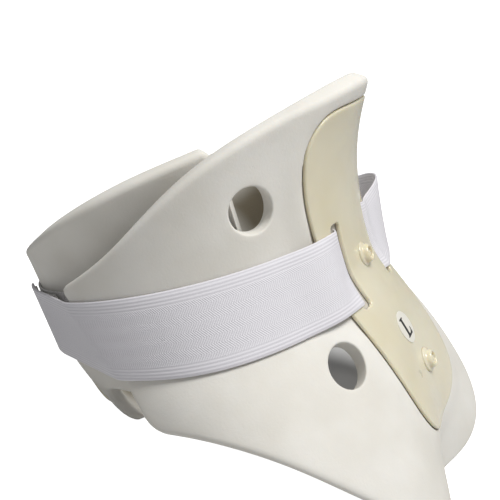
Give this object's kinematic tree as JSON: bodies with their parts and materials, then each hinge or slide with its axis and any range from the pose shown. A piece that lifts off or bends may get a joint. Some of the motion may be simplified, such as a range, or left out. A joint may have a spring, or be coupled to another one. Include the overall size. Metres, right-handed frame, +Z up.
{
  "type": "cervical collar",
  "caption": "Two-piece rigid foam neck collar with a chin cup, chest flap, plastic stiffeners and a wraparound strap that opens the back half.",
  "frame": {"origin": "centre of the bounding box in plan, on the surface the collar stands on", "axes": "+Z up from the surface the collar stands on, -Y to the wearer's front (chin), +Y to the nape, -X to the wearer's right"},
  "size_m": [0.1988, 0.2278, 0.192],
  "materials": {
    "front_foam": "closed-cell foam, matte",
    "back_foam": "closed-cell foam, matte",
    "front_plate": "milky translucent plastic, semi-gloss",
    "back_plate": "milky translucent plastic, semi-gloss",
    "strap_centre": "woven loop strap",
    "right_strap": "woven loop strap",
    "left_strap_front": "woven loop strap",
    "left_strap_rear": "woven loop strap",
    "right_hook": "hook fastener",
    "left_hook": "hook fastener",
    "right_loop": "loop fastener pad",
    "left_loop": "loop fastener pad",
    "label": "printed paper-like label",
    "front_bosses": "moulded plastic, semi-gloss",
    "back_bosses": "moulded plastic, semi-gloss",
    "front_pins": "moulded plastic, semi-gloss",
    "back_pins": "moulded plastic, semi-gloss",
    "front_washers": "moulded plastic, semi-gloss",
    "back_washers": "moulded plastic, semi-gloss"
  },
  "bodies": {
    "front_half": {"front_foam_shell": "front_foam", "front_plate": "front_plate", "strap_centre": "strap_centre", "left_strap_front": "left_strap_front", "size_label": "label", "front_rivet_bosses": "front_bosses", "front_rivet_pins": "front_pins", "front_rivet_washers": "front_washers"},
    "right_strap_run": {"right_strap": "right_strap", "right_hook_tab": "right_hook"},
    "back_half": {"back_foam_shell": "back_foam", "back_plate": "back_plate", "left_strap_rear": "left_strap_rear", "left_hook_tab": "left_hook", "right_loop_pad": "right_loop", "left_loop_pad": "left_loop", "back_rivet_bosses": "back_bosses", "back_rivet_pins": "back_pins", "back_rivet_washers": "back_washers"}
  },
  "joints": [
    {"name": "back_half_swing", "type": "hinge", "parent": "front_half", "child": "back_half", "pos_m": [0.0829, 0.04199, 0.08464], "axis": [0.0448, -0.3449, -0.9376], "range_deg": [0, 50]},
    {"name": "right_strap_swing", "type": "hinge", "parent": "front_half", "child": "right_strap_run", "pos_m": [-0.03118, -0.05786, 0.1128], "axis": [0.0306, 0.4284, 0.9031], "range_deg": [0, 110]}
  ],
  "couplings": [
    {"joint": "right_strap_swing", "follows": "back_half_swing", "ratio": 2.2}
  ]
}
